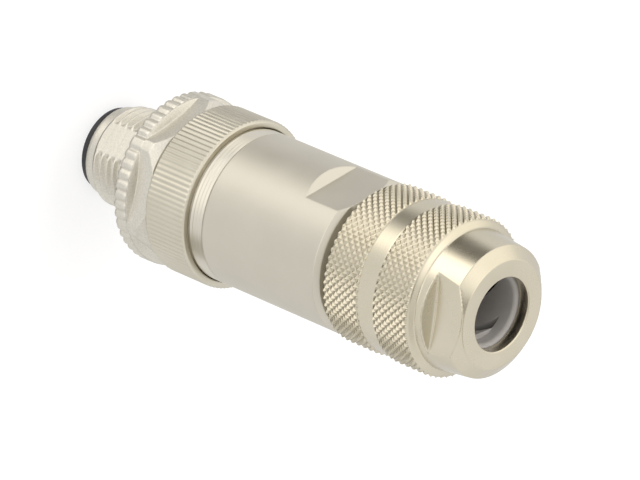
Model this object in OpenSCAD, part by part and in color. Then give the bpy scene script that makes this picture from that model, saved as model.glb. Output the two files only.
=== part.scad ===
// M12 x 1 male cable connector with a shielded metal shell, wired with screw terminals.
// It stands on the rim of its contact carrier: +Z runs up the axis to the cable end.

/* [Coupling screw] */
// Height by which the carrier's rim stands out of the nose
rim_proud = 1; // [0.5:0.1:2]
// Diameter of the plain lead of the nose
lead_d = 10.6; // [10.4:0.1:10.8]
// Length of the plain lead
lead_len = 1.2; // [0.5:0.1:2]
// Major diameter of the coupling thread
thread_d = 12; // [11.5:0.1:14]
// Length of the coupling thread, with its lead chamfer
thread_len = 8.3; // [5:0.1:12]
// Distance across the two flats that interrupt the thread
thread_af = 11.1; // [10.9:0.1:13]
// Length of the toothed flange
flange_len = 1.8; // [1:0.1:4]
// Diameter over the teeth
teeth_d = 20.2; // [19.6:0.1:24]
// Depth of the gaps between the teeth
tooth_depth = 0.3; // [0.15:0.05:0.4]
// Teeth on each side of the hexagon
teeth_per_side = 7; // [5:1:7]
// Distance across the hexagon's flats
hex_af = 18; // [15:0.1:19.8]
// Diameter over the hexagon's rounded corners
hex_corner_d = 20; // [18.4:0.1:24]
// Length of the hexagon
hex_len = 2.6; // [2.2:0.1:6]
// Height of the slope between the toothed flange and the hexagon's flats
web_h = 0.3; // [0.1:0.05:0.6]
// Angle of the first hexagon corner about the axis
coupling_turn = -50.5; // [-180:0.5:180]

/* [Contact carrier] */
// Outer diameter of the carrier's cup
cup_d = 9.8; // [9.5:0.1:10]
// Wall of the cup
cup_wall = 0.65; // [0.5:0.05:0.8]
// Depth of the cup
cup_depth = 9; // [7:0.1:9.5]
// Width of the coding key
key_w = 1; // [0.6:0.1:1.4]
// Height of the coding key above the cup's wall
key_h = 0.65; // [0.4:0.05:0.7]
// Distance between neighbouring contact pins
pin_pitch = 5; // [4:0.1:5.2]
// Diameter of a contact pin
pin_d = 1; // [0.8:0.1:1.2]
// Depth of the pin tips below the cup's rim
pin_recess = 1.8; // [0.5:0.1:3]

/* [Terminals] */
// Diameter of a terminal barrel
barrel_d = 2.9; // [2.6:0.1:3.2]
// Length of a terminal barrel
barrel_len = 8.6; // [7:0.1:9.6]
// Diameter of the wire hole in a barrel
wire_d = 1.6; // [1:0.1:1.8]
// Solid length of a barrel below its wire hole
barrel_floor = 1.6; // [1:0.1:3]
// Diameter of a terminal screw
screw_d = 2; // [1.6:0.1:2.2]
// Length of the terminal block
block_len = 11; // [10:0.1:14]

/* [Knurled housing] */
// Radial height of the knurled ring above the sleeve
ring_over = 1; // [0.7:0.05:4]
// Length of the knurled ring
ring_len = 5.9; // [5:0.1:9]
// Number of grooves of the straight knurl
knurl_count = 104; // [60:4:120]
// Depth of the straight knurl
knurl_depth = 0.2; // [0.1:0.05:0.3]
// Open gap between the coupling screw and the knurled ring
ring_gap = 0.5; // [0.3:0.1:1]

/* [Sleeve] */
// Diameter of the sleeve, which the ring, the knurled bands and what lies inside follow
sleeve_d = 18; // [17:0.1:24]
// Length of the sleeve between the knurled ring and its cable end
sleeve_len = 19.8; // [18:0.1:30]
// Depth of the sleeve's two spanner flats
sleeve_flat_depth = 1; // [0.4:0.1:1.3]
// Length of the spanner flats on the sleeve
sleeve_flat_len = 5.5; // [3:0.1:10]
// Radial step from the sleeve down to the thread that carries the gland nut
gland_step = 1; // [0.7:0.05:1.2]
// Wall of the spigot with that thread
spigot_wall = 1.65; // [1.2:0.05:1.7]
// Length of that thread
gland_thread_len = 8.5; // [7:0.1:9]

/* [Cable gland] */
// Open gap between the sleeve and the gland nut
gland_gap = 1.2; // [1.2:0.1:2]
// Radial height of the diamond-knurled bands above the sleeve
band_over = 0.35; // [0.2:0.05:2]
// Length of each knurled band
band_len = 5; // [3:0.1:6]
// Length of the plain groove between the bands
groove_len = 2.4; // [1:0.1:4]
// Depth of the plain groove below the bands
groove_depth = 0.3; // [0.1:0.05:0.5]
// Diamonds round each band
diamond_columns = 60; // [40:2:72]
// Height of a diamond along the axis
diamond_h = 0.9; // [0.7:0.05:1.5]
// Length of the gland nut's neck above the upper band
neck_len = 5.8; // [5:0.1:8]
// Radial step from the bands down to the neck
neck_step = 1.15; // [0.6:0.05:1.5]
// Radial taper of the neck along its length
neck_taper = 0.5; // [0:0.05:0.8]
// Radial width of the chamfer round the cable end face
face_chamfer = 1.35; // [0.4:0.05:1.4]
// Height of that chamfer
face_chamfer_h = 1.05; // [0.4:0.05:1.4]
// Depth of the gland nut's two spanner flats
gland_flat_depth = 1.65; // [1:0.05:1.7]
// Length of the spanner flats on the gland nut
gland_flat_len = 4.15; // [2:0.05:4.4]
// Diameter of the cable entry
entry_d = 8.56; // [8:0.02:9]
// Angle of the gland nut's spanner flats about the axis
gland_turn = -15.5; // [-180:0.1:180]
// Axial travel of the gland nut when it is tightened
gland_travel = 1; // [0.5:0.1:1]
// Inner diameter of the clamp cage
cage_bore = 7.8; // [7:0.1:8]
// Wall of the clamp cage
cage_wall = 0.6; // [0.4:0.05:0.8]
// Number of slots in the clamp cage
cage_slots = 4; // [3:1:8]
// Width of a clamp cage slot
cage_slot_w = 1.1; // [0.6:0.1:1.6]
// Inner diameter of the cable seal
seal_bore = 6.6; // [5:0.1:7]

/* [Fits] */
// Radial clearance of turning and screwed fits
fit = 0.05; // [0.03:0.01:0.08]
// Clearance between plain neighbours
gap = 0.1; // [0.05:0.05:0.2]
// Radial gap round the sleeve in the knurled ring's mouth
mouth_gap = 0.17; // [0.1:0.01:0.3]

/* [Hidden] */
$fn = 96;

nickel = [0.80, 0.76, 0.68];
over = 1; // how far a cutter runs past the solid

// Heights up the axis, from the carrier's rim at 0
z_nose = rim_proud;
z_thread = z_nose + lead_len;
z_flange = z_thread + thread_len;
z_hex = z_flange + flange_len;
z_hex_top = z_hex + hex_len;
z_ring = z_hex_top + ring_gap;
z_ring_top = z_ring + ring_len;
z_sleeve_top = z_ring_top + sleeve_len;
z_gland = z_sleeve_top + gland_gap;
z_groove = z_gland + band_len;
z_band = z_groove + groove_len;
z_shoulder = z_band + band_len;
z_top = z_shoulder + neck_len;

// Nose, hexagon and the housing's front tube
cup_r = cup_d / 2;
nose_bore_r = cup_r + fit;
tube_wall = 0.95;
carrier_r = cup_r + 0.6;                // carrier inside the housing's front tube
tube_bore_r = carrier_r + fit;
tube_r = tube_bore_r + tube_wall;
hex_bore_r = tube_r + fit;
z_hex_bore = z_flange + 0.4;            // floor of the coupling screw's counterbore
z_tube = z_hex_bore + 0.9;
hex_chamfer = 0.7;                      // radial size of the hexagon's end chamfer
hex_chamfer_len = 1.1;
key_start = 0.5;                        // depth of the coding key below the cup's rim
tooth_pitch = 7.15;                     // degrees
tooth_gap_r = 0.36;                     // radius of the round gap between two teeth

// Retaining ring, half in the tube and half in the coupling screw
wire_r = 0.38;
snap_r = tube_r + fit / 2;
snap_groove = wire_r + 0.07;            // half the groove's width
snap_play = 0.12;                       // room behind the wire, for it to spring into
z_snap = (z_hex_bore + z_hex_top) / 2 + 0.3;

// Housing, its screwed joint with the sleeve and its seal
sleeve_r = sleeve_d / 2;
ring_r = sleeve_r + ring_over;
ring_edge = 0.3;                        // chamfer of the ring's rear rim
joint_r = sleeve_r - 0.5;               // sleeve's front thread
joint_bore_r = joint_r + fit;
seal_seat_r = sleeve_r + mouth_gap;     // bore that the seal ring closes
flange_r = joint_r - 1.3;               // carrier's flange
z_step = z_ring + 0.6;                  // step that the carrier's flange seats on
flange_h = 1.4;
z_block = z_step + flange_h;
z_joint = z_block + 0.2;                // floor of the housing's screwed bore
z_sleeve = z_joint + 0.2;
z_seal_seat = z_ring_top - 1.3;
cord_r = 0.38;                          // section of the seal ring
cord_play = 0.03;
seal_groove_r = seal_seat_r - 2 * (cord_r + cord_play);
z_seal_lip = z_seal_seat + 2 * cord_r + 0.19;
lip_r = sleeve_r - 0.05;
lip_len = 2.35;
lip_lines = 3;                          // fine grooves that the tool leaves in the lip
lip_line = 0.04;                        // their depth

// Terminals
pin_r = pin_d / 2;
pin_at = pin_pitch / 2;
pin_circle_r = pin_at * sqrt(2);
barrel_r = barrel_d / 2;
screw_r = screw_d / 2;
block_r = flange_r - gap;
z_barrel_top = z_block + barrel_len;
z_screw = z_block + 5.6;
screw_in = pin_circle_r + wire_d / 2 + fit;
screw_out = block_r - 0.3;
slot_w = 0.4;                           // screwdriver slot
slot_depth = 0.5;

// Sleeve's inside and the stack that it holds
sleeve_bore_r = flange_r + gap;
sleeve_chamfer = 0.6;
sleeve_flat_slope = 0.85;               // axial run of its flats' end walls for each unit of depth
ledge = 1.8;                            // wall between the stack and the gland
z_seat = z_sleeve_top + 0.7;            // seat of the thrust washer
z_ledge = z_seat - ledge;
ledge_bore_r = 4.6;
shield_h = 2;
cone = 1.2;                             // height of the shield rings' meeting cones
braid = 0.3;                            // room for the shield braid between the cones
z_shield = z_ledge - 2 * shield_h - gap + cone;
z_spacer = z_block + block_len + gap;
spacer_bore_r = block_r - 0.8;
shield_bore_r = 4.3;
gland_thread_r = sleeve_r - gland_step;
spigot_r = gland_thread_r - fit;
spigot_bore_r = spigot_r - spigot_wall;
spigot_chamfer = 0.5;
relief_len = 1.4;                       // relief groove between the sleeve and the gland's thread
relief_depth = 0.65;
z_spigot_top = z_sleeve_top + gland_thread_len;

// Gland
washer_h = 0.8;
washer_bore_r = 4.1;
cage_r = spigot_bore_r - 0.7;
cage_ring_h = 1.7;                      // unslotted ring at the cable end
cage_shoulder_h = 5.5;                  // part whose bore is as small as the entry's
cage_slot_turn = 37.5;                  // angle of the first slot
z_cage_top = z_top - 1.5;
z_cage_foot = z_seat + washer_h + 1.7;
z_seal_foot = z_seat + washer_h + gland_travel + 0.3;
z_seal_top = z_cage_top - cage_shoulder_h - gap;
seal_r = cage_r - cage_wall - fit;
seal_edge = 0.4;                        // chamfer of the seal's bore
nut_cavity_r = cage_r + gap;
nut_thread_len = 10;
cage_lip = 0.6;                         // chamfer outside and round-over inside the cage's mouth
band_r = sleeve_r + band_over;
groove_r = band_r - groove_depth;
knurl_root = 0.02;                      // knurl's grooves stand this far above the plain groove
neck_r = band_r - neck_step;
neck_end_r = neck_r - neck_taper;
shoulder_h = 0.5;
gland_flat_slope = 0.3;                 // the same run for the gland nut's flats

// A ring of four like parts at the terminals, number i from 0 to 3
function terminal_angle(i) = 45 + 90 * i;

// Solid of revolution of a list of [radius, height] points
module turned(points) {
    rotate_extrude() polygon(points);
}

// Cutter for two opposite flats, af apart, from height z up to top. Their end walls run slope
// down the axis for each unit outwards.
module spanner_flats(af, z, top, reach, slope) {
    run = slope * (reach - af / 2);
    for (side = [0, 180])
        rotate([0, 0, side])
            translate([reach, 0, 0])
                rotate([0, -90, 0])
                    linear_extrude(2 * reach)
                        polygon([[z, af / 2], [z - run, reach], [top, reach], [top, af / 2]]);
}

// Die-cast screw that turns on the housing's front tube and pulls the plug into its socket
module coupling_screw() {
    corner_r = hex_corner_d / 2;
    teeth_r = teeth_d / 2;
    color(nickel)
    rotate([0, 0, coupling_turn])
    difference() {
        union() {
            difference() {
                turned([[0, z_nose], [lead_d / 2, z_nose], [lead_d / 2, z_thread],
                    [thread_d / 2, z_thread + (thread_d - lead_d) / 2],
                    [thread_d / 2, z_flange + over / 2], [0, z_flange + over / 2]]);
                for (side = [0, 180])
                    rotate([0, 0, side])
                        translate([thread_af / 2, -thread_d, z_nose - over])
                            cube([thread_d, 2 * thread_d, z_flange - z_nose + over]);
            }
            difference() {
                translate([0, 0, z_flange]) cylinder(r = teeth_r, h = flange_len);
                for (side = [0 : 5], k = [0 : teeth_per_side])
                    rotate([0, 0, 30 + 60 * side + (k - teeth_per_side / 2) * tooth_pitch])
                        translate([teeth_r - tooth_depth + tooth_gap_r, 0, z_flange - over])
                            cylinder(r = tooth_gap_r, h = flange_len + 2 * over, $fn = 24);
            }
            intersection() {
                turned([[0, z_flange], [corner_r, z_flange], [corner_r, z_hex_top - hex_chamfer_len],
                    [corner_r - hex_chamfer, z_hex_top], [0, z_hex_top]]);
                translate([0, 0, z_flange])
                    cylinder(r = hex_af / 2 / cos(30), h = flange_len + hex_len, $fn = 6);
            }
            turned([[0, z_hex - web_h], [corner_r, z_hex - web_h], [corner_r, z_hex],
                [hex_af / 2, z_hex + web_h], [0, z_hex + web_h]]);
        }
        translate([0, 0, z_nose - over]) cylinder(r = nose_bore_r, h = z_hex_top);
        translate([0, 0, z_hex_bore]) cylinder(r = hex_bore_r, h = z_hex_top);
        translate([0, 0, z_snap - snap_groove])
            cylinder(r = snap_r + wire_r + snap_play, h = 2 * snap_groove);
    }
}

// Open ring of spring wire that keeps the coupling screw on the tube
module retaining_ring() {
    color([0.72, 0.72, 0.74])
    translate([0, 0, z_snap])
        rotate([0, 0, 15])
            rotate_extrude(angle = 330)
                translate([snap_r, 0]) circle(wire_r, $fn = 24);
}

// Moulded insulator: a cup with a coding key, and a flange that seats in the housing
module contact_carrier() {
    color([0.16, 0.16, 0.17])
    difference() {
        union() {
            difference() {
                turned([[0, 0], [cup_r, 0], [cup_r, z_tube - gap], [carrier_r, z_tube - gap],
                    [carrier_r, z_step], [flange_r, z_step], [flange_r, z_block], [0, z_block]]);
                translate([0, 0, -over])
                    cylinder(r = cup_r - cup_wall, h = cup_depth + over);
            }
            translate([-key_w / 2, cup_r - cup_wall - key_h, key_start])
                cube([key_w, key_h + cup_wall / 2, cup_depth]);
        }
        for (i = [0 : 3])
            rotate([0, 0, terminal_angle(i)])
                translate([pin_circle_r, 0, 0])
                    cylinder(r = pin_r + fit / 2, h = z_block + over, $fn = 32);
    }
}

// Turned ring with a straight knurl; its tube carries the coupling screw
module knurled_housing() {
    crest = 0.03; // how far the ring's rim cuts the knurl's sharp crests down
    color(nickel)
    difference() {
        intersection() {
            turned([[0, z_tube], [tube_r, z_tube], [tube_r, z_ring], [ring_r - ring_edge / 2, z_ring],
                [ring_r, z_ring + ring_edge / 2], [ring_r, z_ring_top - ring_edge],
                [ring_r - ring_edge, z_ring_top], [0, z_ring_top]]);
            linear_extrude(z_ring_top + over)
                polygon([for (i = [0 : 2 * knurl_count - 1])
                    let (a = 180 * i / knurl_count, r = ring_r + crest - (i % 2) * knurl_depth)
                    [r * cos(a), r * sin(a)]]);
        }
        translate([0, 0, z_tube - over]) cylinder(r = tube_bore_r, h = z_ring_top);
        translate([0, 0, z_step]) cylinder(r = flange_r + gap, h = z_ring_top);
        translate([0, 0, z_joint]) cylinder(r = joint_bore_r, h = z_ring_top);
        translate([0, 0, z_seal_seat]) cylinder(r = seal_seat_r, h = z_ring_top);
        translate([0, 0, z_snap])
            difference() {
                cylinder(r = tube_r + over, h = 2 * snap_groove, center = true);
                cylinder(r = snap_r - wire_r - cord_play, h = 2 * snap_groove + over, center = true);
            }
    }
}

// Rubber ring that seals the screwed joint between housing and sleeve
module housing_seal_ring() {
    color([0.12, 0.12, 0.12])
    translate([0, 0, (z_seal_seat + z_seal_lip) / 2])
        rotate_extrude()
            translate([seal_seat_r - cord_r - cord_play, 0]) circle(cord_r, $fn = 24);
}

// Gold-plated contact: a pin in front and a barrel with a wire hole behind
module contact_pin(i) {
    color([0.86, 0.68, 0.30])
    rotate([0, 0, terminal_angle(i)])
        translate([pin_circle_r, 0, 0])
            difference() {
                turned([[0, pin_recess], [pin_r * 0.4, pin_recess], [pin_r, pin_recess + pin_r],
                    [pin_r, z_block], [barrel_r, z_block], [barrel_r, z_barrel_top],
                    [0, z_barrel_top]]);
                translate([0, 0, z_block + barrel_floor])
                    cylinder(r = wire_d / 2, h = barrel_len, $fn = 48);
                translate([0, 0, z_screw])
                    rotate([0, 90, 0])
                        cylinder(r = screw_r + fit / 2, h = 2 * barrel_r, $fn = 48);
            }
}

// Moulded block that holds the four barrels and guides their screws
module terminal_block() {
    color([0.22, 0.22, 0.24])
    difference() {
        translate([0, 0, z_block]) cylinder(r = block_r, h = block_len);
        for (i = [0 : 3])
            rotate([0, 0, terminal_angle(i)]) {
                translate([pin_circle_r, 0, z_block - over])
                    cylinder(r = barrel_r + fit, h = block_len + 2 * over);
                translate([pin_circle_r, 0, z_screw])
                    rotate([0, 90, 0])
                        cylinder(r = screw_r + fit, h = block_r, $fn = 48);
            }
    }
}

// Slotted set screw that clamps a wire in its barrel
module terminal_screw(i) {
    color([0.78, 0.78, 0.76])
    rotate([0, 0, terminal_angle(i)])
        translate([screw_in, 0, z_screw])
            rotate([0, 90, 0])
                difference() {
                    cylinder(r = screw_r, h = screw_out - screw_in, $fn = 48);
                    translate([-screw_r - over, -slot_w / 2, screw_out - screw_in - slot_depth])
                        cube([2 * screw_r + 2 * over, slot_w, slot_depth + over]);
                }
}

// Moulded tube that keeps the shield rings off the terminals
module spacer_tube() {
    color([0.55, 0.55, 0.53])
    turned([[spacer_bore_r, z_spacer], [block_r, z_spacer], [block_r, z_shield - gap],
        [spacer_bore_r, z_shield - gap]]);
}

// Turned ring whose cone carries the spread shield braid
module shield_ring() {
    color(nickel)
    turned([[shield_bore_r, z_shield], [block_r, z_shield],
        [block_r, z_shield + shield_h - cone], [shield_bore_r + 1, z_shield + shield_h],
        [shield_bore_r, z_shield + shield_h]]);
}

// Turned ring that clamps the braid from above and grounds it on the sleeve's ledge
module shield_clamp_ring() {
    bottom = z_shield + shield_h - cone + braid;
    color(nickel)
    turned([[shield_bore_r + 1.2, bottom + cone], [block_r, bottom], [block_r, z_ledge],
        [shield_bore_r + 0.3, z_ledge], [shield_bore_r + 0.3, bottom + cone]]);
}

// Turned sleeve: screwed into the housing in front, with a spigot for the gland nut behind
module sleeve() {
    z_lip_end = z_seal_lip + lip_len;
    line_pitch = lip_len / (lip_lines + 1);
    lines = [for (k = [0 : lip_lines - 1], p = [[-1, 0], [0, 1], [1, 0]])
        [lip_r - p[1] * lip_line, z_seal_lip + (k + 1.5) * line_pitch + p[0] * lip_line]];
    color(nickel)
    difference() {
        turned(concat([[0, z_sleeve], [joint_r, z_sleeve], [joint_r, z_seal_seat - gap],
            [seal_groove_r, z_seal_seat - gap], [seal_groove_r, z_seal_lip], [lip_r, z_seal_lip]],
            lines,
            [[lip_r, z_lip_end], [sleeve_r, z_lip_end + sleeve_r - lip_r],
            [sleeve_r, z_sleeve_top - sleeve_chamfer], [sleeve_r - sleeve_chamfer, z_sleeve_top],
            [spigot_r - relief_depth, z_sleeve_top],
            [spigot_r - relief_depth, z_sleeve_top + relief_len],
            [spigot_r, z_sleeve_top + relief_len + relief_depth / 2],
            [spigot_r, z_spigot_top - spigot_chamfer],
            [spigot_r - spigot_chamfer, z_spigot_top], [0, z_spigot_top]]));
        translate([0, 0, z_joint - over])
            cylinder(r = sleeve_bore_r, h = z_ledge - z_joint + over);
        translate([0, 0, z_ledge - over]) cylinder(r = ledge_bore_r, h = 3 * ledge);
        translate([0, 0, z_seat]) cylinder(r = spigot_bore_r, h = z_spigot_top);
        spanner_flats(2 * (sleeve_r - sleeve_flat_depth), z_sleeve_top - sleeve_flat_len,
            z_sleeve_top, sleeve_r + over, sleeve_flat_slope);
    }
}

// Flat ring that the cable seal is pressed against
module thrust_washer() {
    color([0.75, 0.74, 0.70])
    turned([[washer_bore_r, z_seat], [spigot_bore_r - gap, z_seat],
        [spigot_bore_r - gap, z_seat + washer_h], [washer_bore_r, z_seat + washer_h]]);
}

// Rubber grommet that the gland squeezes round the cable
module cable_seal() {
    color([0.13, 0.13, 0.13])
    turned([[seal_bore / 2, z_seal_foot + seal_edge], [seal_bore / 2 + seal_edge, z_seal_foot],
        [seal_r, z_seal_foot], [seal_r, z_seal_top], [seal_bore / 2 + seal_edge, z_seal_top],
        [seal_bore / 2, z_seal_top - seal_edge]]);
}

// Moulded cage whose fingers close round the seal
module clamp_cage() {
    bore_r = cage_bore / 2;
    lip = cage_lip;
    color([0.62, 0.62, 0.64])
    difference() {
        rotate_extrude()
            difference() {
                polygon([[bore_r, z_seal_top + gap], [cage_r - cage_wall, z_seal_top + gap],
                    [cage_r - cage_wall, z_cage_foot], [cage_r, z_cage_foot],
                    [cage_r, z_cage_top - lip], [cage_r - lip, z_cage_top], [bore_r, z_cage_top]]);
                difference() {
                    translate([bore_r - lip, z_cage_top - lip]) square(2 * lip);
                    translate([bore_r + lip, z_cage_top - lip]) circle(lip, $fn = 32);
                    translate([bore_r + lip, z_cage_top - 2 * lip]) square(3 * lip);
                }
            }
        for (i = [0 : cage_slots - 1])
            rotate([0, 0, 360 / cage_slots * i + cage_slot_turn])
                translate([bore_r - over, -cage_slot_w / 2, z_cage_foot - over])
                    cube([cage_r, cage_slot_w, z_cage_top - cage_ring_h - z_cage_foot + over]);
    }
}

// Knurled band as two crossing families of V-grooves leave it: rows of pyramids, each row half a
// column on from the last. Each pyramid has its tip at band_r and four groove crossings round it;
// the first and the last row stay at the grooves' depth, so the band runs out as on a chamfer.
module diamond_band(z) {
    columns = 2 * diamond_columns;
    rows = round(2 * band_len / diamond_h);
    root_r = groove_r + knurl_root;
    function is_tip(i, j) = (i + j) % 2 == 0 && j > 0 && j < rows;
    function at(i, j) = j * columns + i % columns;
    points = [for (j = [0 : rows], i = [0 : columns - 1])
        let (r = is_tip(i, j) ? band_r : root_r, a = 360 * i / columns)
        [r * cos(a), r * sin(a), z + band_len * j / rows]];
    // Four neighbouring points are two facets, which meet between the two groove crossings
    facets = [for (j = [0 : rows - 1], i = [0 : columns - 1], upper = [false, true])
        (i + j) % 2 == 0
            ? (upper ? [at(i + 1, j), at(i, j + 1), at(i + 1, j + 1)]
                : [at(i, j), at(i, j + 1), at(i + 1, j)])
            : (upper ? [at(i, j), at(i, j + 1), at(i + 1, j + 1)]
                : [at(i, j), at(i + 1, j + 1), at(i + 1, j)])];
    ends = [[for (i = [0 : columns - 1]) at(i, 0)],
        [for (i = [columns - 1 : -1 : 0]) at(i, rows)]];
    polyhedron(points, concat(facets, ends), convexity = 4);
}

// Turned cap nut with two diamond-knurled bands that presses the cage on the seal
module gland_nut() {
    z_cone = z_gland + nut_thread_len;
    color(nickel)
    difference() {
        union() {
            turned([[0, z_gland], [groove_r, z_gland], [groove_r, z_shoulder],
                [neck_r, z_shoulder + shoulder_h], [neck_end_r, z_top - face_chamfer_h],
                [neck_end_r - face_chamfer, z_top], [0, z_top]]);
            diamond_band(z_gland);
            diamond_band(z_band);
        }
        translate([0, 0, z_gland - over])
            cylinder(r = gland_thread_r, h = nut_thread_len + over);
        turned([[0, z_gland + over], [gland_thread_r, z_gland + over], [gland_thread_r, z_cone],
            [nut_cavity_r, z_cone + 1], [nut_cavity_r, z_cage_top - cage_lip + gap],
            [nut_cavity_r - cage_lip, z_cage_top + gap], [0, z_cage_top + gap]]);
        translate([0, 0, z_cage_top - over])
            cylinder(r = entry_d / 2, h = z_top - z_cage_top + 2 * over);
        rotate([0, 0, gland_turn - 90])
            spanner_flats(2 * (neck_r - gland_flat_depth), z_top - gland_flat_len, z_top + over,
                neck_r + over, gland_flat_slope);
    }
}

coupling_screw();
retaining_ring();
contact_carrier();
knurled_housing();
housing_seal_ring();
contact_pin(0);  // contact_pin_1
contact_pin(1);  // contact_pin_2
contact_pin(2);  // contact_pin_3
contact_pin(3);  // contact_pin_4
terminal_block();
terminal_screw(0);  // terminal_screw_1
terminal_screw(1);  // terminal_screw_2
terminal_screw(2);  // terminal_screw_3
terminal_screw(3);  // terminal_screw_4
spacer_tube();
shield_ring();
shield_clamp_ring();
sleeve();
thrust_washer();
cable_seal();
clamp_cage();
gland_nut();
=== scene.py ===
"""A shielded M12 cable connector with a hexagonal coupling screw, a knurled ring, a plain sleeve
and a diamond-knurled gland nut. It stands on the rim of its contact carrier, and +Z runs up
the axis to the cable end. Lengths are written in millimetres and become metres with MM."""

import math

import bmesh
import bpy
import numpy as np
from mathutils import Matrix, Vector


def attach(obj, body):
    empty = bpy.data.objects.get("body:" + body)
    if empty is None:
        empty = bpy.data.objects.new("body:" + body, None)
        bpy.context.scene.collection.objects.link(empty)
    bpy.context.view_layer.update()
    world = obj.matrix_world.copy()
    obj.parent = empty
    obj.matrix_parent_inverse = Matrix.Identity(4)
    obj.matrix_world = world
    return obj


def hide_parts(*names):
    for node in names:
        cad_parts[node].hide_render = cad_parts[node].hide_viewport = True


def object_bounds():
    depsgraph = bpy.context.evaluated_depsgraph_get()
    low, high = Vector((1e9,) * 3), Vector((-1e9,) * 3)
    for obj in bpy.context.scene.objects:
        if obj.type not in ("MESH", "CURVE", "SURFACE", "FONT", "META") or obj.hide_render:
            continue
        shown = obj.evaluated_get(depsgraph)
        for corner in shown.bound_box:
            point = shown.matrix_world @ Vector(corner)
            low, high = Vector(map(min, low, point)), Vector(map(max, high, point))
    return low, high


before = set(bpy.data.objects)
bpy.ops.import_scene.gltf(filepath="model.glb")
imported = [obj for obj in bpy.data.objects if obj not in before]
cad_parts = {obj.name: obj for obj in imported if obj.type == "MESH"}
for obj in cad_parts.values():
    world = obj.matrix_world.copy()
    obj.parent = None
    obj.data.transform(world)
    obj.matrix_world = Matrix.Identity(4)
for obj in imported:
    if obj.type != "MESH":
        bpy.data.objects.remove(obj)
cad_low, cad_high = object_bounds()
MM = 0.001

# ---------------------------------------------------------------------------------------------
# Camera. A long lens looks down on the upright connector from in front, and is rolled so far
# that the cable end points to the lower right. Angles are in degrees.
AZIMUTH, ELEVATION, ROLL = -40.5307, 38.5388, -113.1404
AIM = Vector((-0.886, 1.156, 32.039)) * MM
DISTANCE = 724.60 * MM
SENSOR, FOCAL_LENGTH = 36, 365.625

azimuth, elevation = math.radians(AZIMUTH), math.radians(ELEVATION)
to_camera = Vector((math.cos(azimuth) * math.cos(elevation),
                    math.sin(azimuth) * math.cos(elevation), math.sin(elevation)))
level_right = Vector((-math.sin(azimuth), math.cos(azimuth), 0))
level_up = to_camera.cross(level_right)
roll = math.radians(ROLL)
camera_up = level_up * math.cos(roll) + level_right * math.sin(roll)
camera_right = camera_up.cross(to_camera)

camera_data = bpy.data.cameras.new("camera")
camera_data.sensor_width, camera_data.lens = SENSOR, FOCAL_LENGTH
camera_data.clip_start, camera_data.clip_end = 0.05, 20
camera = bpy.data.objects.new("camera", camera_data)
bpy.context.scene.collection.objects.link(camera)
turn = Matrix((camera_right, camera_up, to_camera)).transposed().to_4x4()
camera.matrix_world = Matrix.Translation(AIM + to_camera * DISTANCE) @ turn
bpy.context.scene.camera = camera
bpy.context.scene.view_settings.view_transform = "Standard"


# ---------------------------------------------------------------------------------------------
# Studio. A white table inside a white tent, with softboxes and grey cards round the object. The
# tent goes on below the table's level, so that the metal shows all of it.
def linear(code):
    """sRGB hex to linear: each channel to the power 2.4 above the short straight foot."""
    parts = np.array([int(code[i:i + 2], 16) for i in (1, 3, 5)]) / 255
    return (*np.where(parts <= 0.04045, parts / 12.92, ((parts + 0.055) / 1.055) ** 2.4), 1.0)


def add(tree, kind, inputs=None, **settings):
    """Adds a node; inputs maps a socket to a value, or to the output that feeds it."""
    made = tree.nodes.new(kind)
    for name, value in settings.items():
        setattr(made, name, value)
    for socket, value in (inputs or {}).items():
        if isinstance(value, bpy.types.NodeSocket):
            tree.links.new(value, made.inputs[socket])
        else:
            made.inputs[socket].default_value = value
    return made


CAMERA_SIDE = -40.5
world = bpy.data.worlds.new("studio")
bpy.context.scene.world = world
world.use_nodes = True
tree = world.node_tree
tree.nodes.clear()
looking = add(tree, "ShaderNodeTexCoord").outputs["Generated"]
tent = linear("#F8F8F7")
for around, height, inner, outer, colour in (
        (180, -0.50, 25, 75, linear("#E6E6E7")),      # the far side of the tent
        (76, -0.40, 4, 26, linear("#605E58")),        # grey card low in front
        (34, -0.38, 10, 24, (2.3, 2.22, 2.08, 1)),    # softbox low in front
        (112, 0.78, 18, 42, (1.35, 1.31, 1.22, 1)),   # two softboxes overhead
        (75, 0.95, 4, 20, (1.9, 1.85, 1.75, 1)),
        (-135, 0.905, 8, 22, linear("#BAB6A8")),      # two grey cards overhead
        (-22, 0.89, 5, 16, linear("#8C887C")),
        (0, -1.0, 20, 42, linear("#4C483E")),         # dark ground straight below
        (-4, 0.34, 16, 36, (1.5, 1.46, 1.40, 1)),     # softbox beside the camera
        (74, 0.10, 8, 24, (1.5, 1.45, 1.38, 1)),      # softbox at the side
        (-80, -0.08, 8, 22, linear("#ACA89B")),       # two grey cards at the other side
        (-47, 0.45, 5, 16, linear("#B4AF9F"))):
    # A round patch: around is in degrees from the camera's side about the axis, height the sine
    # of the elevation. It is whole within inner degrees of its middle and gone at outer degrees.
    angle = math.radians(CAMERA_SIDE - around)
    level = math.sqrt(1 - height * height)
    near = add(tree, "ShaderNodeVectorMath", {0: looking, 1: (
        level * math.cos(angle), level * math.sin(angle), height)}, operation="DOT_PRODUCT")
    share = add(tree, "ShaderNodeMapRange", {
        "Value": near.outputs["Value"], "From Min": math.cos(math.radians(outer)),
        "From Max": math.cos(math.radians(inner))}, interpolation_type="SMOOTHSTEP")
    tent = add(tree, "ShaderNodeMix", {0: share.outputs["Result"], 6: tent, 7: colour},
               data_type="RGBA").outputs[2]
tent_light = add(tree, "ShaderNodeBackground", {"Color": tent, "Strength": 1.0})
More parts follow.
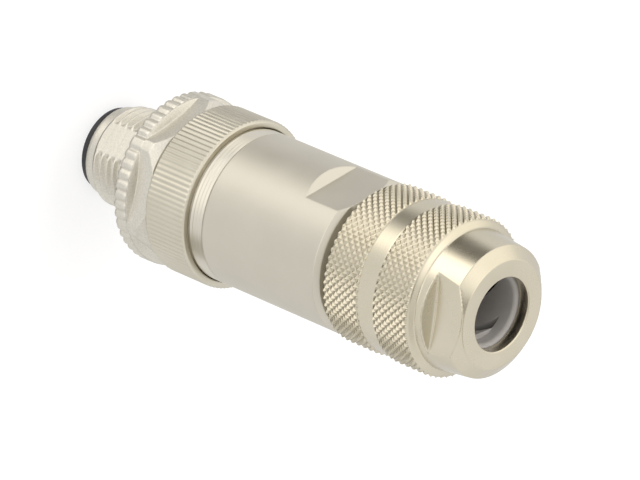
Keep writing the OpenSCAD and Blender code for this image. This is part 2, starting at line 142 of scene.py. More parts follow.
# Seen straight or through a clear piece, the tent is plain white
tent_seen = add(tree, "ShaderNodeBackground", {"Color": (1, 1, 1, 1), "Strength": 1.0})
path = add(tree, "ShaderNodeLightPath")
straight = add(tree, "ShaderNodeMath", {0: path.outputs["Is Camera Ray"],
               1: path.outputs["Is Transmission Ray"]}, operation="MAXIMUM")
shown = add(tree, "ShaderNodeMixShader", {0: straight.outputs[0], 1: tent_light.outputs[0],
            2: tent_seen.outputs[0]})
add(tree, "ShaderNodeOutputWorld", {"Surface": shown.outputs[0]})

# A weak round softbox overhead gives the one soft shadow; the metal mirrors only the tent
lamp_data = bpy.data.lights.new("overhead_softbox", "AREA")
lamp_data.shape, lamp_data.size, lamp_data.energy = "DISK", 0.34, 0.8
lamp = bpy.data.objects.new("overhead_softbox", lamp_data)
lamp.location = (-0.11, -0.18, 0.67)
lamp.rotation_euler = (-lamp.location).to_track_quat("-Z", "Y").to_euler()
lamp.visible_glossy = False
bpy.context.scene.collection.objects.link(lamp)

TABLE_HALF, TABLE_GAP = 3.0, 0.02 * MM
table_mesh = bpy.data.meshes.new("table")
table_mesh.from_pydata([(-TABLE_HALF, -TABLE_HALF, 0), (TABLE_HALF, -TABLE_HALF, 0),
                        (TABLE_HALF, TABLE_HALF, 0), (-TABLE_HALF, TABLE_HALF, 0)],
                       [], [(0, 1, 2, 3)])
table = bpy.data.objects.new("table", table_mesh)
table.location.z = cad_low.z - TABLE_GAP
bpy.context.scene.collection.objects.link(table)
table.visible_glossy = False
material = bpy.data.materials.new("white laminate")
material.use_nodes = True
tree = material.node_tree
tree.nodes.clear()
# The camera sees a whiter table than the object does, so that it fades into the tent
laminate = add(tree, "ShaderNodeBsdfDiffuse", {"Color": linear("#E6E6E4")})
shadow = add(tree, "ShaderNodeBsdfDiffuse", {"Color": (0.36, 0.36, 0.36, 1)})
glow = add(tree, "ShaderNodeEmission", {"Color": (1, 1, 1, 1), "Strength": 0.7})
seen = add(tree, "ShaderNodeAddShader", {0: shadow.outputs[0], 1: glow.outputs[0]})
path = add(tree, "ShaderNodeLightPath")
shown = add(tree, "ShaderNodeMixShader", {0: path.outputs["Is Camera Ray"],
            1: laminate.outputs[0], 2: seen.outputs[0]})
add(tree, "ShaderNodeOutputMaterial", {"Surface": shown.outputs[0]})
table_mesh.materials.append(material)


# ---------------------------------------------------------------------------------------------
# Coupling screw. Zinc die casting, nickel plated and left satin: a nose with the M12 x 1 thread,
# cut by two flats, a flange with seven teeth to a side, and a hexagon that two fingers turn.
def rows(radius, height, columns):
    """One or more rows of a surface round the axis: radius and height, spread over columns."""
    radius, height = np.atleast_1d(radius), np.atleast_1d(height)
    radius = radius[:, None] if radius.ndim == 1 else radius
    height = height[:, None] if height.ndim == 1 else height
    count = max(len(radius), len(height))
    return np.stack([np.broadcast_to(radius, (count, columns)),
                     np.broadcast_to(height, (count, columns))])


def turned_piece(name, parts, angles, crisp=()):
    """Closed surface about the axis. Each row is a loop of points at the given angles, with x =
    radius cos(angle), y = radius sin(angle); rows run up the outside and down the bore. A bent
    face folds as a valley, and the rows listed as crisp keep flat facets."""
    radius, height = np.concatenate(parts, axis=1)
    count, columns = radius.shape
    points = np.stack([radius * np.cos(angles), radius * np.sin(angles), height], -1) * MM
    k, i = np.meshgrid(np.arange(count), np.arange(columns), indexing="ij")
    up, along = (k + 1) % count, (i + 1) % columns
    corners = np.stack([k * columns + i, k * columns + along, up * columns + along,
                        up * columns + i], -1)
    bend = radius + radius[up, along] - radius[k, along] - radius[up, i]
    corners = np.where((bend > 0)[..., None], np.roll(corners, -1, -1), corners).reshape(-1, 4)
    smooth = np.ones((count, columns), bool)
    smooth[list(crisp)] = False
    mesh = bpy.data.meshes.new(name)
    mesh.vertices.add(count * columns)
    mesh.vertices.foreach_set("co", points.astype(np.float32).ravel())
    mesh.loops.add(corners.size)
    mesh.loops.foreach_set("vertex_index", corners.astype(np.int32).ravel())
    mesh.polygons.add(len(corners))
    mesh.polygons.foreach_set("loop_start", np.arange(0, corners.size, 4, dtype=np.int32))
    mesh.polygons.foreach_set("use_smooth", smooth.ravel())
    mesh.update(calc_edges=True)
    mesh.validate()
    piece = bpy.data.objects.new(name, mesh)
    bpy.context.scene.collection.objects.link(piece)
    even = piece.modifiers.new("even shading", "WEIGHTED_NORMAL")
    even.weight, even.keep_sharp = 60, True
    return piece


def lesser(a, b, blend):
    """Smooth minimum: the lower of two surfaces, their meeting edge rounded over about blend."""
    h = np.clip(0.5 + 0.5 * (b - a) / blend, 0, 1)
    return b + (a - b) * h - blend * h * (1 - h)


def greater(a, b, blend):
    """Smooth maximum, as the smooth minimum with both signs turned."""
    return -lesser(-a, -b, blend)


HEX_TURN = math.radians(-50.5)
NOSE_FOOT, NOSE_R, LEAD_R = 2.2, 5.3, 5.3
CREST, ROOT, PITCH = 5.99, 5.44, 1.0
FLAT_R = 5.47
FLANGE_Z, FLANGE_R = 10.5, 10.09
HEX_Z, HEX_AF, HEX_R, SCREW_TOP = 12.3, 18.0, 10.06, 14.9
angles = np.linspace(0, 2 * math.pi, 576, endpoint=False)
columns = len(angles)
# Angles from the nearest corner of the hexagon, middle of its flat, and flat of the thread
from_corner = (angles - HEX_TURN + math.pi / 6) % (math.pi / 3) - math.pi / 6
from_flat = (angles - HEX_TURN) % (math.pi / 3) - math.pi / 6
from_thread_flat = (angles - HEX_TURN + math.pi / 2) % math.pi - math.pi / 2


def thread_radius(height, crest, root):
    """Right-hand 60 degree thread: the radius is a clipped triangle wave of height less angle."""
    wave = (height[:, None] / PITCH - angles[None, :] / (2 * math.pi)) % 1.0
    ramp = np.abs(wave * 2 - 1) * 1.2 - 0.08
    return root + (crest - root) * np.clip(ramp, 0, 1)


nose_z = np.linspace(NOSE_FOOT, 10.4, 96)
lead_cone = LEAD_R + (nose_z[:, None] - NOSE_FOOT)
thread = lesser(thread_radius(nose_z, CREST, ROOT), lead_cone, 0.06)
# The two flats stand just above the thread's root, and its grooves fill up towards them
plane = FLAT_R / np.cos(np.clip(from_thread_flat, -0.6, 0.6))
filled = np.clip((math.radians(24.2) - np.abs(from_thread_flat)) / math.radians(6), 0, 1)
thread = lesser(np.maximum(thread, ROOT + (plane - ROOT) * filled), plane, 0.02)
thread = lesser(thread, lead_cone, 0.04)

TOOTH, TOOTH_DEPTH, SIDE_TEETH = math.radians(7.15), 0.25, 4.0
tooth_place = from_flat / TOOTH
tooth_wave = np.abs((tooth_place + 0.5) % 1.0 - 0.5)          # 0 on a tooth, 0.5 in a gap
in_teeth = np.clip((SIDE_TEETH - np.abs(tooth_place)) * 8, 0, 1)
tooth_dip = np.clip((tooth_wave - 0.14) / 0.36, 0, 1) ** 1.1 * in_teeth
flange = FLANGE_R - TOOTH_DEPTH * tooth_dip
# Heights up the flange's edge, and how far its rounded rims drop back from the teeth
flange_z = np.array([0.0, 0.02, 0.07, 0.16, 0.4, 0.9, 1.4, 1.62, 1.72, 1.79])
flange_drop = np.array([0.14, 0.08, 0.03, 0.0, 0.0, 0.0, 0.0, 0.02, 0.06, 0.1])
# At the hexagon's corners the flange runs out into the land of the corner without a step
at_corner = np.clip((math.radians(5.5) - np.abs(from_corner)) / math.radians(1.5), 0, 1)
flange_drop = flange_drop[:, None] * np.where(flange_z[:, None] > 1.5, 1 - at_corner, 1)

hex_z = np.concatenate([np.linspace(12.32, 12.82, 11), np.linspace(12.9, 13.5, 3),
                        np.linspace(13.6, 14.84, 15)])
hexagon = np.broadcast_to(HEX_AF / 2 / np.cos(from_flat), (len(hex_z), columns))
hexagon = lesser(hexagon, HEX_R, 0.02)
# A sloping web joins the flange to the flats, and a cone takes the corners off at the cable end
web = 10.08 - (hex_z[:, None] - HEX_Z) / 0.45
hexagon = greater(hexagon, web, 0.02)
hexagon = lesser(hexagon, HEX_R - 0.76 * (hex_z[:, None] - 13.8) / 1.1, 0.09)

screw = turned_piece("coupling_screw_cast", [
    rows([5.0, 5.2, 5.27, NOSE_R], [1.0, 1.0, 1.03, 1.1], columns),
    rows([NOSE_R, NOSE_R], [1.5, 2.1], columns),
    rows(thread, nose_z, columns),
    rows(thread[-1:] + 0.04, [FLANGE_Z - 0.03], columns),
    rows([6.2, 8.0, 9.6], [FLANGE_Z, FLANGE_Z, FLANGE_Z], columns),
    rows(flange[None, :] - flange_drop, FLANGE_Z + flange_z, columns),
    rows(hexagon, hex_z, columns),
    rows([9.24, 9.15, 8.4, 6.7, 6.6, 6.55, 6.55],
         [14.88, SCREW_TOP, SCREW_TOP, SCREW_TOP, 14.88, 14.8, 13.75], columns),
    # Bore, down from the groove of the retaining ring
    rows([7.02, 7.02, 6.55, 6.55, 6.5, 5.1, 4.97, 4.95, 4.95, 4.95],
         [13.65, 12.75, 12.65, 11.0, 10.9, 10.9, 10.87, 10.8, 6.0, 1.05], columns),
], angles)
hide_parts("coupling_screw")
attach(screw, "coupling")


def blend_colour(tree, share, first, second):
    """Colour between two sRGB hex colours, by a share from 0 to 1."""
    return add(tree, "ShaderNodeMix", {0: share, 6: linear(first), 7: linear(second)},
               data_type="RGBA").outputs[2]


def spread(tree, value, low, high):
    """Maps a noise value, which stays near its middle, to run from low to high."""
    return add(tree, "ShaderNodeMapRange", {"Value": value, "From Min": 0.3, "From Max": 0.7,
               "To Min": low, "To Max": high}).outputs["Result"]


# Nickel plate on a zinc die casting: the skin of the die shows through the thin plate as a fine
# even grain, about 0.2 mm across, so the metal is satin and its highlights are wide and soft. A
# noise's scale is its cells per millimetre, divided by MM.
material = bpy.data.materials.new("satin nickel on die-cast zinc")
material.use_nodes = True
tree = material.node_tree
tree.nodes.clear()
place = add(tree, "ShaderNodeTexCoord").outputs["Object"]
cloud = add(tree, "ShaderNodeTexNoise", {"Vector": place, "Scale": 0.26 / MM, "Detail": 3.0})
grain = add(tree, "ShaderNodeTexNoise", {"Vector": place, "Scale": 5.2 / MM, "Detail": 2.0})
bump = add(tree, "ShaderNodeBump", {"Height": grain.outputs["Fac"], "Strength": 1.0,
           "Distance": 0.014 * MM})
finish = add(tree, "ShaderNodeBsdfPrincipled", {
    "Base Color": blend_colour(tree, spread(tree, grain.outputs["Fac"], 0, 1), "#DAD6CB",
                               "#E8E4DA"),
    "Roughness": spread(tree, cloud.outputs["Fac"], 0.44, 0.52),
    "Normal": bump.outputs["Normal"], "Metallic": 1.0})
add(tree, "ShaderNodeOutputMaterial", {"Surface": finish.outputs[0]})
screw.data.materials.append(material)

# ---------------------------------------------------------------------------------------------
# Knurled housing. Turned from brass and nickel plated: a front tube that carries the coupling
# screw, and a ring with a straight knurl of 104 grooves, rolled in before its rims are turned.
GROOVES, KNURL_R, KNURL_WAVE = 104, 9.93, 0.055
RING_FOOT_Z, RING_TOP, RING_R = 15.4, 21.3, 10.0
angles = np.linspace(0, 2 * math.pi, 8 * GROOVES, endpoint=False)
columns = len(angles)
knurl = KNURL_R + KNURL_WAVE * np.cos(angles * GROOVES)
ring_z = np.concatenate([[15.42, 15.46, 15.5, 15.55, 15.6, 15.8], np.linspace(16.2, 20.4, 7),
                         [20.7, 20.85, 20.95, 21.0, 21.05, 21.1, 21.15, 21.2, 21.26]])
rims = np.minimum(9.85 + (ring_z - RING_FOOT_Z), RING_R - np.maximum(ring_z - 21.0, 0))
ring = lesser(np.broadcast_to(knurl, (len(ring_z), columns)), rims[:, None], 0.03)
housing = turned_piece("knurled_housing_turned", [
    rows([5.58, 5.65, 6.35, 6.47, 6.5, 6.5], [11.82, 11.8, 11.8, 11.83, 11.9, 12.7], columns),
    rows([6.11, 6.11, 6.5, 6.5, 6.55, 7.0, 9.0, 9.8],
         [12.76, 13.64, 13.7, 15.3, RING_FOOT_Z, RING_FOOT_Z, RING_FOOT_Z, RING_FOOT_Z], columns),
    rows(ring, ring_z, columns),
    rows([9.7, 9.64, 9.25, 9.15, 9.11, 9.11],
         [21.29, RING_TOP, RING_TOP, 21.29, 21.22, 20.05], columns),
    rows([9.12, 8.6, 8.55, 8.55, 8.5, 7.35, 7.3, 7.3], [20.0, 20.0, 19.95, 17.65, 17.6, 17.6,
         17.55, 16.05], columns),
    rows([7.25, 5.6, 5.55, 5.55], [16.0, 16.0, 15.95, 11.86], columns),
], angles)
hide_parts("knurled_housing")
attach(housing, "housing")


# Nickel plate on turned brass: satin, with the feed lines of the tool round the axis. They would
# be about 0.08 mm apart on a real part and are drawn 0.2 mm apart, so that they show.
BLAST_ROUGHNESS = 0.2


def turned_nickel(name, dark, pale, smooth, rough, feed_depth, grainy=0.0, blasted=None):
    """Plated turned metal; its feed lines are noise over radius and height only, and grainy is the
    share of an even grain in them. Between the two heights of blasted, the blasting has left it
    rougher and without lines. feed_depth is in millimetres."""
    material = bpy.data.materials.new(name)
    material.use_nodes = True
    tree = material.node_tree
    tree.nodes.clear()
    place = add(tree, "ShaderNodeTexCoord").outputs["Object"]
    flat = add(tree, "ShaderNodeVectorMath", {0: place, 1: (1, 1, 0)}, operation="MULTIPLY")
    radius = add(tree, "ShaderNodeVectorMath", {0: flat.outputs[0]}, operation="LENGTH")
    height = add(tree, "ShaderNodeSeparateXYZ", {0: place}).outputs["Z"]
    feed_place = add(tree, "ShaderNodeCombineXYZ", {"X": radius.outputs["Value"], "Y": height})
    feed = add(tree, "ShaderNodeTexNoise", {"Vector": feed_place.outputs[0], "Scale": 5 / MM,
               "Detail": 1.0}).outputs["Fac"]
    cloud = add(tree, "ShaderNodeTexNoise", {"Vector": place, "Scale": 0.22 / MM, "Detail": 4.0})
    grit = add(tree, "ShaderNodeTexNoise", {"Vector": place, "Scale": 6 / MM, "Detail": 2.0})
    roughness = spread(tree, cloud.outputs["Fac"], smooth, rough)
    if blasted:
        low, high = blasted
        inside = add(tree, "ShaderNodeMath", {0: height, 1: (low + high) / 2 * MM,
                     2: (high - low) / 2 * MM}, operation="COMPARE").outputs[0]
        roughness = add(tree, "ShaderNodeMath", {0: inside, 1: BLAST_ROUGHNESS, 2: roughness},
                        operation="MULTIPLY_ADD").outputs[0]
        grainy = inside
    relief = add(tree, "ShaderNodeMix", {0: grainy, 2: feed, 3: grit.outputs["Fac"]}).outputs[0]
    bump = add(tree, "ShaderNodeBump", {"Height": relief, "Strength": 1.0,
               "Distance": feed_depth * MM})
    finish = add(tree, "ShaderNodeBsdfPrincipled", {
        "Base Color": blend_colour(tree, spread(tree, cloud.outputs["Fac"], 0, 1), dark, pale),
        "Roughness": roughness, "Normal": bump.outputs["Normal"], "Metallic": 1.0})
    add(tree, "ShaderNodeOutputMaterial", {"Surface": finish.outputs[0]})
    return material


nickel_ring = turned_nickel("satin nickel on knurled brass", "#D3CDBD", "#DBD6C7", 0.36, 0.42,
                            feed_depth=0.002)
housing.data.materials.append(nickel_ring)

# ---------------------------------------------------------------------------------------------
# Sleeve. Turned from brass, blasted to an even satin and nickel plated; it screws into the
# housing, has two milled spanner flats at its cable end, and a threaded spigot beyond them.
SLEEVE_R, SLEEVE_FLAT_R, FLAT_START, FLAT_SLOPE = 9.0, 8.0, 35.6, 0.85
CHAMFER_Z, SPIGOT_CREST, SPIGOT_ROOT = 40.5, 7.94, 7.4
LIP_ROWS, LIP_STEP, LINE_ROWS, LINE_DEPTH = 38, 0.06, 8, 0.12
angles = np.linspace(0, 2 * math.pi, 480, endpoint=False)
columns = len(angles)
across_flat = np.abs(np.sin(angles))
# The lip keeps the marks of the tool: lines that deepen over five rows and end in a step
lip_row = np.arange(LIP_ROWS)
lip_z = 21.02 + lip_row * LIP_STEP
lip_line = LINE_DEPTH * np.minimum(lip_row % LINE_ROWS / 5, 1)
body_z = np.concatenate([[23.31, 23.36, 23.6], np.linspace(24.5, 33.5, 6),
                         np.linspace(34.4, 35.9, 26), np.linspace(36.2, 40.2, 12),
                         [40.4, 40.46, 40.5, 40.56, 40.65, 40.8, 40.95, 41.06]])
body = np.minimum(SLEEVE_R, SLEEVE_R - (body_z - CHAMFER_Z))[:, None]
end_wall = (FLAT_START - body_z) / FLAT_SLOPE
depth = np.where(body_z < FLAT_START, SLEEVE_FLAT_R + end_wall, SLEEVE_FLAT_R)[:, None]
body = lesser(body, depth / np.maximum(across_flat, 0.3), 0.02)
body = np.minimum(body, SLEEVE_R - 0.05 * (body_z[:, None] < 23.34))
spigot_z = np.linspace(42.75, 49.0, 75)
spigot = thread_radius(spigot_z, SPIGOT_CREST, SPIGOT_ROOT)
spigot = lesser(spigot, SPIGOT_CREST - np.maximum(spigot_z[:, None] - 48.6, 0), 0.08)
sleeve = turned_piece("sleeve_turned", [
    rows([7.32, 7.4, 8.4, 8.48, 8.5, 8.5, 8.38, 8.35, 8.35, 8.4, 8.93, 8.98],
         [17.82, 17.8, 17.8, 17.83, 17.9, 19.88, 19.9, 19.95, 20.9, 20.95, 20.95, 20.97], columns),
    rows(SLEEVE_R - lip_line, lip_z, columns),
    rows(body, body_z, columns),
    rows(np.minimum(8.36, 7.99 / np.maximum(across_flat, 0.3))[None, :], [41.1], columns),
    rows([7.35, 7.3, 7.3, 7.42], [41.1, 41.15, 42.5, 42.68], columns),
    rows(spigot, spigot_z, columns),
    rows([7.3, 7.2, 6.4, 6.32, 6.3, 6.3], [49.55, 49.6, 49.6, 49.57, 49.5, 41.85], columns),
    rows([6.25, 4.65, 4.6, 4.6, 4.65, 7.25, 7.3, 7.3], [41.8, 41.8, 41.75, 40.05, 40.0, 40.0,
         39.95, 17.88], columns),
], angles, crisp=range(11, 11 + LIP_ROWS))
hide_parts("sleeve")
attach(sleeve, "housing")
nickel_sleeve = turned_nickel("satin nickel on blasted brass", "#D8D3C6", "#DDD8CC", 0.28, 0.33,
                              feed_depth=0.0015, blasted=(23.4, 41.2))
sleeve.data.materials.append(nickel_sleeve)

# ---------------------------------------------------------------------------------------------
# Gland nut. Turned from brass and nickel plated: two diamond-knurled bands with a plain groove
# between them, and a tapered neck with two milled flats and a chamfer round the cable end face.
DIAMONDS, HALF_ROWS, STEPS = 60, 11, 4
BAND_ROWS = HALF_ROWS * STEPS
TIP, GROOVE_CROSSING, GROOVE_R = 9.35, 9.04, 9.05
angles = np.linspace(0, 2 * math.pi, DIAMONDS * 2 * STEPS, endpoint=False)
columns = len(angles)


def knurl_band(bottom, top):
    """Diamond knurl, as two crossing sets of V-grooves leave it: the radius falls from each
    pyramid's tip to the grooves with the sum of the two distances from the tip, each measured in
    half cells; rows are staggered. The end rows lie at the grooves' depth."""
    x, y = angles * DIAMONDS / (2 * math.pi), np.arange(BAND_ROWS + 1)[:, None] / STEPS / 2

    def pyramid(shift):
        """One of the two interlocking sets of pyramids: 1 at its tips, 0 in the grooves."""
        away = np.abs((x + shift) % 1 - 0.5) + np.abs((y + shift) % 1 - 0.5)
        return np.clip(1 - 2 * away, 0, 1)

    # The tips are a little blunt, as the turned blank leaves them
    shape = np.minimum(np.maximum(pyramid(0), pyramid(0.5)), 0.9) / 0.9
    shape[[0, -1]] = 0
    radius = GROOVE_CROSSING + (TIP - GROOVE_CROSSING) * shape
    return radius, np.linspace(bottom, top, BAND_ROWS + 1)


band_a, band_a_z = knurl_band(42.32, 47.3)
band_b, band_b_z = knurl_band(49.7, 54.68)
GLAND_TURN, GLAND_FLAT_R, WALL_TOP = math.radians(-15.5), 6.55, 55.87
across_flat = np.abs(np.cos(angles - GLAND_TURN))
neck_z = np.concatenate([[54.72, 54.85, 55.0, 55.1], np.linspace(55.2, 57.6, 36),
                         np.linspace(57.8, 59.3, 8), np.linspace(59.36, 59.54, 5),
                         np.linspace(59.7, 60.46, 7)])
neck = np.where(neck_z < 55.2, 9.05 - 1.7 * (neck_z - 54.7), 8.2 - 0.5 * (neck_z - 55.2) / 4.25)
neck = lesser(neck, 7.7 - 1.35 * (neck_z - 59.45) / 1.05, 0.02)[:, None]
# A flat's end wall leans, most so in the middle of the flat, and meets the flat in a soft foot
way = 0.42 + 0.3 * np.clip(1 - (1 - across_flat ** 2) / 0.35, 0, 1)
left = 1 - (neck_z[:, None] - WALL_TOP) / way
flat = greater(GLAND_FLAT_R + 1.65 * left, GLAND_FLAT_R, 0.3)
neck = lesser(neck, flat / np.maximum(across_flat, 0.3), 0.02)
# The rows of facets of each band, counted through the parts below
first_band, second_band = 3, 8 + BAND_ROWS
nut = turned_piece("gland_nut_turned", [
    rows([8.03, 8.1, 9.0], [42.32, 42.3, 42.3], columns),
    rows(band_a, band_a_z, columns),
    rows([GROOVE_R, GROOVE_R, GROOVE_R, GROOVE_R], [47.35, 47.5, 49.5, 49.65], columns),
    rows(band_b, band_b_z, columns),
    rows(neck, neck_z, columns),
    rows(np.minimum(6.35, 6.5 / np.maximum(across_flat, 0.3))[None, :], [60.5], columns),
    rows([6.2, 4.5, 4.4, 4.33, 4.29, 4.28], [60.5, 60.5, 60.49, 60.46, 60.4, 60.3], columns),
    rows([4.28, 4.28, 4.31, 5.08, 5.12, 5.68, 5.7, 5.7], [60.0, 59.15, 59.1, 59.1, 59.08, 58.52,
         58.46, 53.35], columns),
    rows([5.73, 7.97, 8.0, 8.0], [53.28, 52.33, 52.27, 42.36], columns),
], angles, crisp=[*range(first_band, first_band + BAND_ROWS),
                  *range(second_band, second_band + BAND_ROWS)])
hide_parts("gland_nut")
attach(nut, "gland")
nickel_gland = turned_nickel("satin nickel on bright-turned brass", "#D3CBB6", "#DAD2BF", 0.24,
                             0.30, feed_depth=0.005, grainy=0.6)
nut.data.materials.append(nickel_gland)

# ---------------------------------------------------------------------------------------------
# Clamp cage. Injection moulded from glass-filled polyamide: four fingers under a whole ring, with
# slots that start aslant, so that the fingers close like an iris when the nut presses the ring.
SLOTS, SLOT_HALF, FIRST_SLOT = 4, math.radians(10.5), 127.5
RING_FOOT, CAGE_FOOT, CAGE_R, CAGE_BORE, ROW = 57.3, 44.3, 5.6, 3.9, 0.262
TWIST, TWIST_LENGTH = math.radians(18), 3


def swept_sector(profile, start, stop, steps):
    """Closed body: an outline of radius and height points carried round the axis from one angle
    to another. A point below the ring turns by TWIST for each of the first TWIST_LENGTH mm."""
    turn = np.linspace(start, stop, steps)[:, None]
    radius, height = np.array(profile).T
    twist = -TWIST * np.clip(RING_FOOT - height, 0, TWIST_LENGTH)
    return np.stack([radius * np.cos(turn + twist), radius * np.sin(turn + twist),
                     np.broadcast_to(height, (steps, len(height)))], -1) * MM


rounding = np.linspace(0, math.pi / 2, 9)
ring_outline = [(CAGE_R, RING_FOOT), (CAGE_R, 58.36), (5.57, 58.43), (5.03, 58.97), (4.96, 59.0)]
ring_outline += [(4.5 - 0.6 * math.sin(t), 58.4 + 0.6 * math.cos(t)) for t in rounding]
ring_outline += [(CAGE_BORE, RING_FOOT)]
# The fingers reach a little into the ring; their bore widens to the seal's below the shoulder
down, up = np.arange(57.4, 44.29, -ROW), np.arange(CAGE_FOOT, 57.41, ROW)
finger_outline = [(CAGE_R, z) for z in up] + [(CAGE_BORE, z) for z in down if z > 53.6]
finger_outline += [(CAGE_BORE, 53.5), (5.0, 53.5)] + [(5.0, z) for z in down if z < 53.4]
slot_middles = [math.radians(FIRST_SLOT + 360 / SLOTS * k) for k in range(SLOTS + 1)]
points, faces = [], []
for outline, start, stop, steps in [(ring_outline, 0, 2 * math.pi, 129)] + [
        (finger_outline, slot_middles[k] + SLOT_HALF, slot_middles[k + 1] - SLOT_HALF, 25)
        for k in range(SLOTS)]:
    grid = swept_sector(outline, start, stop, steps)
    # Known fault: two of the fingers also end past 6 radians, so they close straight across the
    # bore as the ring closes round, and lack end walls. Cure: whole = outline is ring_outline
    whole = stop > 6
    grid = grid[:-1] if whole else grid
    count, side = grid.shape[:2]
    k, i = np.meshgrid(np.arange(count if whole else count - 1), np.arange(side), indexing="ij")
    corners = np.stack([k * side + i, (k + 1) % count * side + i,
                        (k + 1) % count * side + (i + 1) % side, k * side + (i + 1) % side], -1)
    first = sum(len(p) for p in points)
    faces += (corners.reshape(-1, 4) + first).tolist()
    if not whole:
        faces.append((np.arange(side) + first).tolist())
        faces.append((np.arange(side)[::-1] + first + (count - 1) * side).tolist())
    points.append(grid.reshape(-1, 3))
mesh = bpy.data.meshes.new("clamp_cage_moulded")
mesh.from_pydata(np.concatenate(points).tolist(), [], faces)
cage = bpy.data.objects.new("clamp_cage_moulded", mesh)
bpy.context.scene.collection.objects.link(cage)


def shade_by_angle(mesh, degrees):
    """Smooth shading, but for edges where two faces meet at more than the angle."""
    work = bmesh.new()
    work.from_mesh(mesh)
    for face in work.faces:
        face.smooth = True
    for seam in work.edges:
        seam.smooth = seam.calc_face_angle(0) < math.radians(degrees)
    work.to_mesh(mesh)
    work.free()


shade_by_angle(cage.data, 35)
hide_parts("clamp_cage")
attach(cage, "cage")


def moulded(name, dark, pale, roughness, grain, grain_depth):
    """Moulded plastic or rubber: the skin of the mould as a fine grain, and slow clouds in its
    colour and gloss. grain is in cells per millimetre and grain_depth in millimetres."""
    material = bpy.data.materials.new(name)
    material.use_nodes = True
    tree = material.node_tree
    tree.nodes.clear()
    place = add(tree, "ShaderNodeTexCoord").outputs["Object"]
    cloud = add(tree, "ShaderNodeTexNoise", {"Vector": place, "Scale": 0.4 / MM, "Detail": 3.0})
    skin = add(tree, "ShaderNodeTexNoise", {"Vector": place, "Scale": grain / MM, "Detail": 2.0})
    bump = add(tree, "ShaderNodeBump", {"Height": skin.outputs["Fac"], "Strength": 1.0,
               "Distance": grain_depth * MM})
    finish = add(tree, "ShaderNodeBsdfPrincipled", {
        "Base Color": blend_colour(tree, spread(tree, cloud.outputs["Fac"], 0, 1), dark, pale),
        "Roughness": spread(tree, cloud.outputs["Fac"], roughness, roughness + 0.1),
        "Normal": bump.outputs["Normal"], "IOR": 1.52})
    add(tree, "ShaderNodeOutputMaterial", {"Surface": finish.outputs[0]})
    return material


# Semi-matt light grey with a faint warm cast, kept even by the fine skin of the mould
grey_polyamide = moulded("grey glass-filled polyamide, moulded", "#A5A19E", "#ADAAA7", 0.38,
                         grain=4, grain_depth=0.004)
cage.data.materials.append(grey_polyamide)

# ---------------------------------------------------------------------------------------------
# Contact carrier and terminal block. Injection moulded from black polyamide; the carrier's cup has
# a coding key, and four holes that the contacts are pressed into.
def finished_copy(node, name, edge, body):
    """Copy of a CAD solid: its loose triangles merged, its flat faces joined, its edges rounded
    by a bevel of that width, and its round faces shaded smooth."""
    work = bmesh.new()
    work.from_mesh(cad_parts[node].data)
    bmesh.ops.remove_doubles(work, verts=work.verts, dist=0.001 * MM)
    bmesh.ops.dissolve_limit(work, angle_limit=math.radians(0.4), verts=work.verts,
                             edges=work.edges)
    mesh = bpy.data.meshes.new(name)
    work.to_mesh(mesh)
    work.free()
    mesh.materials.clear()
    shade_by_angle(mesh, 35)
    piece = bpy.data.objects.new(name, mesh)
    bpy.context.scene.collection.objects.link(piece)
    if edge:
        bevel = piece.modifiers.new("rounded edges", "BEVEL")
        bevel.width, bevel.segments, bevel.angle_limit = edge * MM, 2, math.radians(35)
        bevel.harden_normals = True
    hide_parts(node)
    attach(piece, body)
    return piece


# Near black, with a soft sheen along its rounded rim
black_polyamide = moulded("black polyamide, moulded", "#26262A", "#303034", 0.42, grain=5,
                          grain_depth=0.004)
for node, edge in (("contact_carrier", 0.06), ("terminal_block", 0.08)):
    piece = finished_copy(node, node + "_moulded", edge, "housing")
    piece.data.materials.append(black_polyamide)

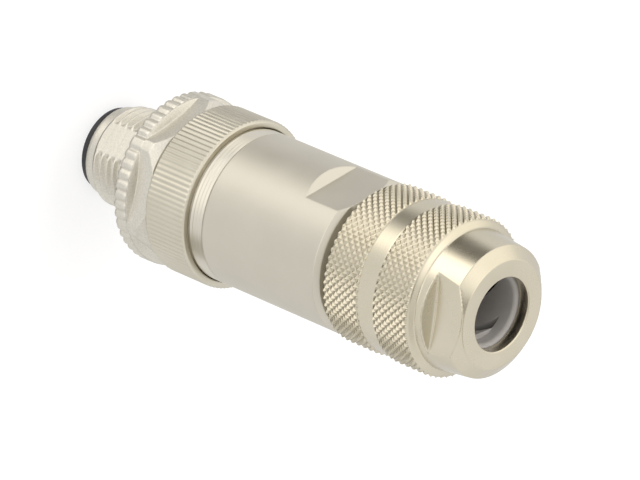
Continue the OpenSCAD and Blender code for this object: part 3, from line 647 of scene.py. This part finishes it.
# ---------------------------------------------------------------------------------------------
# Contacts and their screws. Pins turned from brass and gold plated over nickel; slotted set screws
# of zinc-plated steel clamp the wires in the barrels.
def plated(name, dark, pale, roughness):
    """Plated metal with faint clouds, 1 mm across, where the bath has left it duller."""
    material = bpy.data.materials.new(name)
    material.use_nodes = True
    tree = material.node_tree
    tree.nodes.clear()
    place = add(tree, "ShaderNodeTexCoord").outputs["Object"]
    cloud = add(tree, "ShaderNodeTexNoise", {"Vector": place, "Scale": 0.9 / MM, "Detail": 4.0})
    share = spread(tree, cloud.outputs["Fac"], 0, 1)
    finish = add(tree, "ShaderNodeBsdfPrincipled", {
        "Base Color": blend_colour(tree, share, dark, pale), "Metallic": 1.0,
        "Roughness": spread(tree, cloud.outputs["Fac"], roughness, roughness + 0.1)})
    add(tree, "ShaderNodeOutputMaterial", {"Surface": finish.outputs[0]})
    return material


# Bright warm gold for the contacts, and a cool duller zinc for the screws
gold = plated("gold plate on turned brass", "#DDB15E", "#E6BE70", 0.18)
zinc = plated("zinc plate on steel", "#B9BCBD", "#CBCDCC", 0.30)
for k in (1, 2, 3, 4):
    pin = finished_copy(f"contact_pin_{k}", f"contact_pin_{k}_turned", 0.04, "housing")
    pin.data.materials.append(gold)
    piece = finished_copy(f"terminal_screw_{k}", f"terminal_screw_{k}_slotted", 0.05, "housing")
    piece.data.materials.append(zinc)

# ---------------------------------------------------------------------------------------------
# Retaining ring. Bent from drawn stainless spring wire, open at one place so that it can close.
spring = plated("drawn stainless spring wire", "#B4B4B6", "#C2C2C3", 0.24)
piece = finished_copy("retaining_ring", "retaining_ring_bent", 0, "housing")
piece.data.materials.append(spring)

# ---------------------------------------------------------------------------------------------
# Spacer tube and the shield clamping rings behind the terminals: a moulded polyamide tube, two
# turned rings whose cones clamp the cable's braid, and the washer that the seal turns against.
piece = finished_copy("spacer_tube", "spacer_tube_moulded", 0.08, "housing")
piece.data.materials.append(grey_polyamide)
for node in ("shield_ring", "shield_clamp_ring", "thrust_washer"):
    piece = finished_copy(node, node + "_turned", 0.06, "housing")
    piece.data.materials.append(nickel_ring)

# ---------------------------------------------------------------------------------------------
# Seals. Moulded nitrile rubber: a grommet that the gland squeezes round the cable, and the ring
# that closes the joint between housing and sleeve.
# Dull, so that it takes no highlight next to the polyamide
rubber = moulded("black nitrile rubber, moulded", "#1B1B1C", "#232324", 0.58, grain=3,
                 grain_depth=0.006)
for node, edge, body in (("cable_seal", 0.1, "cage"), ("housing_seal_ring", 0, "housing")):
    piece = finished_copy(node, node + "_moulded", edge, body)
    piece.data.materials.append(rubber)
